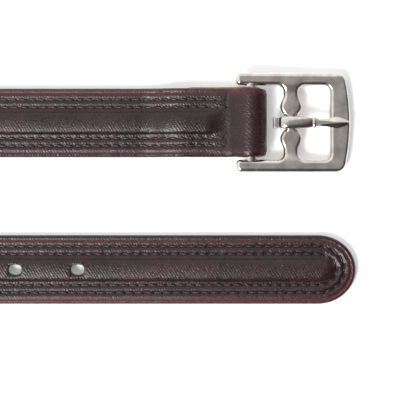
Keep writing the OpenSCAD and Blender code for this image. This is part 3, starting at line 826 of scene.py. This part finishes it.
def calf_leather(name, face, shade, edge, gloss):
    """Drum-dyed, glazed bridle calf.

    Drumming leaves fine slanting creases that break the shine into short glints. The dye clouds
    darker and lighter, and the face turns redder and lighter toward the turned edge. A dark cord
    of painted shade lines the edge on the inside of the loop; the lean narrows the painted shade to
    the last 0.3 mm of the outer edge.
    """
    mat, tree, shader = new_material(name)
    lay = add(tree, "ShaderNodeAttribute", {"attribute_name": "lay"}).outputs["Vector"]
    border = add(tree, "ShaderNodeAttribute", {"attribute_name": "border"}).outputs["Vector"]
    slanted = add(tree, "ShaderNodeMapping", links={"Vector": lay}, Rotation=(0, 0, math.radians(-34)),
                  Scale=(0.42, 1.0, 1.0)).outputs["Vector"]
    # Grain about 0.5 mm across, and pores about 0.9 mm apart, both coarser than calf's own
    fine = add(tree, "ShaderNodeTexNoise", links={"Vector": slanted}, Scale=1900.0, Detail=2.0,
               Roughness=0.5).outputs["Fac"]
    pores = add(tree, "ShaderNodeTexVoronoi", {"feature": "DISTANCE_TO_EDGE"},
                {"Vector": slanted}, Scale=1150.0).outputs["Distance"]
    # Slanting creases 0.9 mm apart, drawn more regular than real ones
    turned = add(tree, "ShaderNodeMapping", links={"Vector": lay}, Rotation=(0, 0, math.radians(32)))
    creases = add(tree, "ShaderNodeTexWave", {"bands_direction": "X"},
                  {"Vector": turned.outputs["Vector"]}, Scale=350.0, Distortion=3.0,
                  Detail=2.0).outputs["Fac"]
    # Dye clouds about 10 mm across, and a redder border
    cloud = add(tree, "ShaderNodeTexNoise", links={"Vector": lay}, Scale=95.0, Detail=3.0).outputs["Fac"]
    tone = ramp(tree, cloud, [(0.3, linear(shade)), (0.62, linear(face))])
    parts = add(tree, "ShaderNodeSeparateXYZ", links={"Vector": border})
    across, side = parts.outputs["X"], parts.outputs["Y"]
    # The face turns redder and lighter toward both edges
    edge_toned = mix(tree, spread(tree, across, 9.0 * MM, 11.4 * MM), tone, linear(edge))
    # Painted shade: a dark cord along the rolled edge, wide on the inside of the loop, 0.3 mm on the outer
    # edge
    lean = 0.6 * MM
    inner = add(tree, "ShaderNodeMath", {"operation": "MULTIPLY_ADD"}, {0: side, 2: across})
    inner.inputs[1].default_value = -lean
    rolled = spread(tree, inner.outputs["Value"], 11.75 * MM, 12.05 * MM)
    painted_edge_shade = mix(tree, rolled, edge_toned, linear("#1d0e10"))
    speck = ramp(tree, fine, [(0.36, grey(0.5)), (0.66, grey(1.0))])
    tree.links.new(mix(tree, 1.0, painted_edge_shade, speck, "MULTIPLY"), shader.inputs["Base Color"])
    tree.links.new(spread(tree, fine, 0.3, 0.7, gloss - 0.07, gloss + 0.1), shader.inputs["Roughness"])
    set_bump(tree, shader, (spread(tree, pores, 0.0, 0.16), 0.4, 0.00006), (fine, 1.0, 0.00011),
             (creases, 0.5, 0.00008))
    shader.inputs["IOR"].default_value = 1.43
    return mat


def waxed_thread(name, colour):
    """Waxed, twisted polyester thread: dark, with short oily glints on each turn of the twist.

    The turns lie 0.8 mm apart along the thread.
    """
    mat, tree, shader = new_material(name)
    lay = add(tree, "ShaderNodeAttribute", {"attribute_name": "lay"}).outputs["Vector"]
    turn = add(tree, "ShaderNodeMapping", links={"Vector": lay}, Rotation=(0, 0, 0.6)).outputs["Vector"]
    ply = add(tree, "ShaderNodeTexWave", {"bands_direction": "X"}, {"Vector": turn}, Scale=380.0,
              Distortion=0.4).outputs["Fac"]
    tree.links.new(ramp(tree, ply, [(0.2, linear("#17090b")), (0.8, linear(colour))]),
                   shader.inputs["Base Color"])
    set_bump(tree, shader, (ply, 0.5, 0.00008))
    shader.inputs["Roughness"].default_value = 0.34
    return mat


def stainless_steel(name, colour, roughness, brushed):
    """Cast stainless steel, tumbled and buffed.

    Buffing leaves hair lines that draw the light out, drawn about 0.2 mm apart and so coarser than
    real ones. Soft waves about 4 mm long show the casting under the polish.
    """
    mat, tree, shader = new_material(name)
    place = add(tree, "ShaderNodeTexCoord").outputs["Object"]
    lines = add(tree, "ShaderNodeMapping", links={"Vector": place}, Scale=(1.0, 0.12, 1.0)).outputs["Vector"]
    hair = add(tree, "ShaderNodeTexNoise", links={"Vector": lines}, Scale=5200.0, Detail=3.0,
               Roughness=0.6).outputs["Fac"]
    waves = add(tree, "ShaderNodeTexNoise", links={"Vector": place}, Scale=240.0, Detail=2.0).outputs["Fac"]
    tree.links.new(ramp(tree, waves, [(0.3, linear("#b9b2ad")), (0.7, linear(colour))]),
                   shader.inputs["Base Color"])
    tree.links.new(spread(tree, hair, 0.3, 0.7, roughness * 0.75, roughness * 1.35),
                   shader.inputs["Roughness"])
    shader.inputs["Metallic"].default_value = 1.0
    set_bump(tree, shader, (hair, brushed, 0.00001), (waves, 0.2, 0.00012))
    return mat


def russet_leather(name, colour):
    """Plain vegetable-tanned leather, undyed: warm beige with a soft, dry surface.

    Its fibre is drawn about 1 mm across, coarser than real.
    """
    mat, tree, shader = new_material(name)
    place = add(tree, "ShaderNodeTexCoord").outputs["Object"]
    fibre = add(tree, "ShaderNodeTexNoise", links={"Vector": place}, Scale=900.0, Detail=5.0).outputs["Fac"]
    tree.links.new(ramp(tree, fibre, [(0.3, linear("#8a6a4a")), (0.7, linear(colour))]),
                   shader.inputs["Base Color"])
    set_bump(tree, shader, (fibre, 0.5, 0.0001))
    shader.inputs["Roughness"].default_value = 0.7
    return mat


def nylon_webbing(name, colour):
    """Woven nylon webbing: ribs 1.1 mm apart that catch the light in rows."""
    mat, tree, shader = new_material(name)
    place = add(tree, "ShaderNodeTexCoord").outputs["Object"]
    rib = add(tree, "ShaderNodeTexWave", {"bands_direction": "X"}, {"Vector": place}, Scale=280.0,
              Distortion=0.6, Detail=2.0).outputs["Fac"]
    tree.links.new(ramp(tree, rib, [(0.2, linear("#2b2728")), (0.8, linear(colour))]),
                   shader.inputs["Base Color"])
    set_bump(tree, shader, (rib, 0.7, 0.0002))
    shader.inputs["Roughness"].default_value = 0.6
    return mat


def closed_cell_foam(name, colour):
    """Closed-cell foam strip: pale and matt with cells about 0.3 mm across."""
    mat, tree, shader = new_material(name)
    place = add(tree, "ShaderNodeTexCoord").outputs["Object"]
    cells = add(tree, "ShaderNodeTexVoronoi", links={"Vector": place}, Scale=3300.0).outputs["Distance"]
    tree.links.new(ramp(tree, cells, [(0.1, linear("#2e2a2a")), (0.6, linear(colour))]),
                   shader.inputs["Base Color"])
    set_bump(tree, shader, (cells, 0.4, 0.0001))
    shader.inputs["Roughness"].default_value = 0.85
    return mat


def paint(obj, mat):
    """Gives the whole piece one material."""
    obj.data.materials.clear()
    obj.data.materials.append(mat)


def place_piece(obj, body, slot, *nodes):
    """The piece rides on a body and stands for its nodes, which it hides; the slot is not used."""
    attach(obj, body)
    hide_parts(*nodes)
    return obj


# ---------------------------------------------------------------- what a user may change
class StrapSettings(bpy.types.PropertyGroup):
    """Colours and stitching of the strap."""
    face_colour: bpy.props.StringProperty(name="Face colour", description="Calf face, as a hex colour",
                                          default="#331a20")
    shade_colour: bpy.props.StringProperty(name="Shade colour", default="#1e0e12",
                                           description="Darker dye clouds, as a hex colour")
    edge_colour: bpy.props.StringProperty(name="Edge colour", description="Redder border, as a hex colour",
                                          default="#4b2327")
    thread_colour: bpy.props.StringProperty(name="Thread colour", description="Waxed thread, as a hex colour",
                                            default="#241013")
    liner_colour: bpy.props.StringProperty(name="Liner colour", description="Wear liner, as a hex colour",
                                           default="#cbb798")
    gloss: bpy.props.FloatProperty(name="Leather roughness", description="Lower is glossier", default=0.31,
                                   min=0.1, max=0.9, subtype="FACTOR")
    puckers: bpy.props.FloatProperty(name="Pucker height", default=0.13 * MM, min=0.0, max=0.2 * MM,
                                     description="Rise of the leather between two stitches",
                                     unit="LENGTH")
    thread_radius: bpy.props.FloatProperty(name="Thread radius", description="Half the thread's width",
                                           default=0.36 * MM, min=0.2 * MM, max=0.5 * MM, unit="LENGTH")


class BuckleSettings(bpy.types.PropertyGroup):
    """Sizes and colour of the buckle."""
    reach: bpy.props.FloatProperty(name="Reach", description="Rear bar's axis to the front edge",
                                   default=36.75 * MM, unit="LENGTH")
    side_bar: bpy.props.FloatProperty(name="Side bar", description="Width of each side bar",
                                      default=4.65 * MM, unit="LENGTH")
    front_bar: bpy.props.FloatProperty(name="Front bar", description="Width of the front bar at its middle",
                                       default=7.6 * MM, unit="LENGTH")
    thickness: bpy.props.FloatProperty(name="Thickness", description="Thickness of the frame",
                                       default=4.4 * MM, unit="LENGTH")
    bevel: bpy.props.FloatProperty(name="Bevel", description="Width of the frame's bevels",
                                   default=1.4 * MM, unit="LENGTH")
    colour: bpy.props.StringProperty(name="Steel colour", description="Polished steel, as a hex colour",
                                     default="#ded7d1")


class StageSettings(bpy.types.PropertyGroup):
    """Floor and light."""
    floor_colour: bpy.props.StringProperty(name="Floor colour", description="Pale floor, as a hex colour",
                                           default="#ffffff")
    floor_glow: bpy.props.FloatProperty(name="Floor glow", description="Light of the lit table itself",
                                        default=0.2, min=0.0, subtype="FACTOR")
    key_power: bpy.props.FloatProperty(name="Key light", description="Power of the large soft light",
                                       default=9.5, min=0.0, unit="POWER")
    world_strength: bpy.props.FloatProperty(name="Room light", description="Strength of the room's light",
                                            default=1.0, min=0.0, subtype="FACTOR")


# ---------------------------------------------------------------- operators
class STRAP_OT_cover(bpy.types.Operator):
    """Calf cover with its rolled edge, sewn furrows, raised pad and punched holes"""
    bl_idname = "strap.cover"
    bl_label = "Calf cover"

    def execute(self, context):
        s = context.scene.strap_settings
        obj = layer("calf_cover", COURSE, FACE_LINE, HOLLOW_LINE, s.puckers / MM)
        paint(obj, calf_leather("glazed_calf", s.face_colour, s.shade_colour, s.edge_colour, s.gloss))
        place_piece(obj, "strap", "calf", "face_leather")
        return {"FINISHED"}


class STRAP_OT_back(bpy.types.Operator):
    """Lining on the back of the strap, between the cover's turned edges"""
    bl_idname = "strap.back"
    bl_label = "Lining"

    def execute(self, context):
        s = context.scene.strap_settings
        obj = layer("back_lining", LINED_COURSE, BACK_TOP, BACK_LINE)
        paint(obj, calf_leather("lining_calf", s.shade_colour, "#332022", s.shade_colour, s.gloss + 0.15))
        place_piece(obj, "strap", "lining", "back_leather")
        return {"FINISHED"}


class STRAP_OT_core(bpy.types.Operator):
    """Nylon core that carries the load"""
    bl_idname = "strap.core"
    bl_label = "Nylon core"

    def execute(self, context):
        obj = layer("nylon_web", COURSE, CORE_TOP, CORE_LOW)
        paint(obj, nylon_webbing("woven_nylon", "#4b4546"))
        place_piece(obj, "strap", "webbing", "nylon_core")
        paint(frame["nodes"]["foam_pad"], closed_cell_foam("pad_foam", "#4c4646"))
        return {"FINISHED"}


class STRAP_OT_liner(bpy.types.Operator):
    """Wear liner inside the fold round the rear bar"""
    bl_idname = "strap.liner"
    bl_label = "Wear liner"

    def execute(self, context):
        s = context.scene.strap_settings
        low, high, right, left = 0.04, 1.17, HALF_W + 0.45, -HALF_W
        section = [(left, low + 0.2), (left + 0.2, low), (right - 0.2, low), (right, low + 0.2),
                   (right, high - 0.2), (right - 0.2, high), (left + 0.2, high), (left, high - 0.2)]
        obj = ribbon("fold_liner", COURSE, 0, COURSE["fold_count"] - 3, section)
        paint(obj, russet_leather("undyed_russet", s.liner_colour))
        place_piece(obj, "strap", "russet", "bar_liner")
        return {"FINISHED"}


class STRAP_OT_stitches(bpy.types.Operator):
    """Two rows of stitches along both edges, on the face, the back and the turned-back end"""
    bl_idname = "strap.stitches"
    bl_label = "Stitches"

    def execute(self, context):
        s = context.scene.strap_settings
        mat = waxed_thread("waxed_thread", s.thread_colour)
        rows = border_rows(LINED_COURSE)
        insets = (("outer", OUTER_ROW_INSET), ("inner", INNER_ROW_INSET))
        face_row = FACE_ROW_Z + FACE_ROW_RISE * rows["plain"]
        for level, height, up, radius in (("face", face_row, 1, s.thread_radius / MM),
                                          ("back", BACK_ROW_Z, -1, BACK_THREAD_R)):
            for side, inset in insets:
                places, ways, ups = along_row(rows, inset, height)
                obj = stitch_mesh(f"{side}_{level}_stitches", places, ways, up * ups, radius)
                paint(obj, mat)
                place_piece(obj, "strap", "thread", f"{side}_{level}_thread")
        flap = border_rows(FLAP_COURSE)
        groups = [along_row(half_rows(flap, side), inset, TURNBACK_ROW_Z)
                  for side in (-1, 1) for inset in (OUTER_ROW_INSET, INNER_ROW_INSET)]
        places, ways, ups = [np.concatenate([g[k] for g in groups]) for k in range(3)]
        obj = stitch_mesh("turnback_stitches", places, ways, ups, TURNBACK_THREAD_R)
        paint(obj, mat)
        place_piece(obj, "strap", "thread", "turnback_thread")
        return {"FINISHED"}


class BUCKLE_OT_frame(bpy.types.Operator):
    """Buckle frame: a U of flat, bevelled bars, a round rear bar and a waisted centre bar"""
    bl_idname = "buckle.frame"
    bl_label = "Buckle frame"

    def execute(self, context):
        s = context.scene.buckle_settings
        outlines = buckle_outlines(s.reach / MM, s.side_bar / MM, s.front_bar / MM)
        ring = thin_centre(plate("ring", outlines, s.thickness / MM, s.bevel / MM), CENTRE_THINNING)
        rear = bar_y("rear", REAR_R, WINDOW_HALF + 0.8)
        obj = join("steel_frame", [ring, rear])
        into_buckle(obj)
        obj.data.shade_smooth()
        obj.modifiers.new("facets", "WEIGHTED_NORMAL")
        apply_modifiers(obj)
        paint(obj, stainless_steel("buffed_stainless", s.colour, 0.2, 0.1))
        place_piece(obj, "frame", "buckle_steel", "buckle_frame")
        return {"FINISHED"}


class BUCKLE_OT_tongue(bpy.types.Operator):
    """Tongue: a rolled loop round the centre bar, a short tail, a stepped collar and a faceted blade"""
    bl_idname = "buckle.tongue"
    bl_label = "Tongue"

    def execute(self, context):
        s = context.scene.buckle_settings
        ring = [(2.07, -1.85), (2.3, -2.15), (3.5, -2.2), (3.9, -2.05), (4.1, -1.6), (4.1, 1.6),
                (3.9, 2.05), (3.5, 2.2), (2.3, 2.15), (2.07, 1.85)]
        loop = revolve_y("loop", ring, 80)
        hump = hump_loft("hump", [
            (-4.75, 1.2, 1.2, 2.0), (-4.5, 1.75, 1.3, 2.7), (-3.8, 2.05, 1.9, 3.5), (-2.6, 2.18, 2.1, 4.0),
            (-1.0, 2.22, 2.1, 4.28), (1.0, 2.22, 2.1, 4.36), (3.0, 2.2, 2.1, 4.3), (5.0, 2.12, 2.1, 4.1),
            (6.6, 1.95, 2.15, 3.8), (7.5, 1.7, 2.2, 3.5), (7.9, 1.45, 2.25, 3.25), (7.95, 1.95, 2.2, 3.75),
            (8.25, 2.02, 2.2, 3.85), (8.8, 1.85, 2.2, 3.75), (9.1, 1.6, 2.3, 3.5), (9.3, 1.2, 2.5, 3.3)])
        blade = tongue_loft("blade", [
            (8.6, 1.5, 2.35, 3.7, 0.6), (9.6, 1.5, 2.35, 3.75, 0.55), (11.0, 1.4, 2.35, 3.75, 0.5),
            (12.4, 1.4, 2.35, 3.75, 0.4), (14.6, 1.75, 2.32, 3.9, 0.2), (17.0, 2.08, 2.3, 4.05, 0.1),
            (19.4, 1.35, 2.3, 3.8, 0.1), (21.2, 0.6, 2.32, 3.35, 0.1), (22.0, 0.12, 2.4, 2.95, 0.1)])
        tail = tongue_loft("tail", [(-6.5, 1.85, -0.9, 0.9, 0.8), (-6.35, 2.1, -1.15, 1.15, 0.8),
                                    (-5.9, 2.2, -1.3, 1.3, 0.8), (-4.4, 2.2, -1.3, 1.3, 0.8),
                                    (-3.2, 2.1, -1.25, 1.25, 0.8)])
        obj = join("steel_tongue", [loop, hump, blade, tail])
        set_places(obj, places_of(obj) + CENTRE_BAR_X * MM * X_AXIS)
        into_buckle(obj)
        paint(obj, stainless_steel("polished_stainless", s.colour, 0.14, 0.1))
        place_piece(obj, "tongue", "tongue_steel", "buckle_tongue")
        return {"FINISHED"}


class STAGE_OT_set(bpy.types.Operator):
    """Pale floor, a room brighter behind and to the left, a large soft light in front, and the camera"""
    bl_idname = "stage.set"
    bl_label = "Floor, light and camera"

    def execute(self, context):
        s = context.scene.stage_settings
        half, level = 3.0, -0.0002
        mesh = bpy.data.meshes.new("floor")
        mesh.from_pydata([(-half, -half, level), (half, -half, level), (half, half, level),
                          (-half, half, level)], [], [(0, 1, 2, 3)])
        floor = bpy.data.objects.new("floor", mesh)
        context.scene.collection.objects.link(floor)
        mat, tree, shader = new_material("paper_floor")
        shader.inputs["Base Color"].default_value = linear(s.floor_colour)
        shader.inputs["Roughness"].default_value = 0.9
        shader.inputs["Emission Color"].default_value = linear(s.floor_colour)
        shader.inputs["Emission Strength"].default_value = s.floor_glow
        paint(floor, mat)
        world = bpy.data.worlds.new("room")
        world.use_nodes = True
        room = world.node_tree
        way = add(room, "ShaderNodeTexCoord").outputs["Generated"]
        # The walls brighten toward the back left, so steel shows bright and dark sides
        toward = add(room, "ShaderNodeVectorMath", {"operation": "DOT_PRODUCT"}, {0: way})
        toward.inputs[1].default_value = (-0.55, 0.8, 0.12)
        share = add(room, "ShaderNodeMath", {"operation": "MULTIPLY_ADD"}, {0: toward.outputs["Value"]})
        share.inputs[1].default_value = 0.5
        share.inputs[2].default_value = 0.5
        walls = ramp(room, share.outputs["Value"], [
            (0.0, grey(0.04)), (0.36, grey(0.1)), (0.48, grey(0.42)), (0.58, grey(0.48)),
            (0.68, grey(1.15)), (0.9, grey(1.3))])
        room.links.new(walls, room.nodes["Background"].inputs["Color"])
        room.nodes["Background"].inputs["Strength"].default_value = s.world_strength
        context.scene.world = world
        light = bpy.data.lights.new("key", "AREA")
        light.size = 0.34
        light.energy = s.key_power
        lamp = bpy.data.objects.new("key", light)
        context.scene.collection.objects.link(lamp)
        lamp.location = (-0.2, -0.4, 0.64)
        beam = np.array((0.15, 0.0, 0.0)) - np.array(lamp.location)
        lamp.rotation_euler = (0, math.acos(-beam[2] / np.linalg.norm(beam)),
                               math.atan2(-beam[1], -beam[0]))
        # Straight down, with 147 mm in view at the height of the strap's middle
        height, middle, in_view = 0.66, 0.003, 0.1472
        cam = bpy.data.cameras.new("camera")
        cam.sensor_width = 36
        cam.lens = cam.sensor_width * (height - middle) / in_view
        cam.clip_start = 0.01
        eye = bpy.data.objects.new("camera", cam)
        context.scene.collection.objects.link(eye)
        eye.location = (0.1552, 0.0123, height)
        context.scene.camera = eye
        context.scene.view_settings.view_transform = "Standard"
        return {"FINISHED"}


OPERATORS = (STRAP_OT_cover, STRAP_OT_back, STRAP_OT_core, STRAP_OT_liner, STRAP_OT_stitches,
             BUCKLE_OT_frame, BUCKLE_OT_tongue, STAGE_OT_set)
GROUPS = (("strap_settings", StrapSettings), ("buckle_settings", BuckleSettings),
          ("stage_settings", StageSettings))


class STRAP_PT_panel(bpy.types.Panel):
    """Sidebar panel with every step in order"""
    bl_idname = "STRAP_PT_panel"
    bl_label = "Stirrup leather"
    bl_space_type = "VIEW_3D"
    bl_region_type = "UI"
    bl_category = "Stirrup leather"

    def draw(self, context):
        for name, group in GROUPS:
            box = self.layout.box()
            for key in group.__annotations__:
                box.prop(getattr(context.scene, name), key)
        for operator in OPERATORS:
            self.layout.operator(operator.bl_idname)


def register():
    """Registers the settings, operators and panel."""
    for _, group in GROUPS:
        bpy.utils.register_class(group)
    for operator in OPERATORS + (STRAP_PT_panel,):
        bpy.utils.register_class(operator)
    for name, group in GROUPS:
        setattr(bpy.types.Scene, name, bpy.props.PointerProperty(type=group))


def unregister():
    """Removes them again."""
    for name, _ in GROUPS:
        delattr(bpy.types.Scene, name)
    for operator in reversed(OPERATORS + (STRAP_PT_panel,)):
        bpy.utils.unregister_class(operator)
    for _, group in reversed(GROUPS):
        bpy.utils.unregister_class(group)


def main():
    """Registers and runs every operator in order."""
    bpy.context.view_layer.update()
    register()
    for operator in OPERATORS:
        group, name = operator.bl_idname.split(".")
        getattr(getattr(bpy.ops, group), name)()
    bpy.context.view_layer.update()


if __name__ == "__main__":
    main()
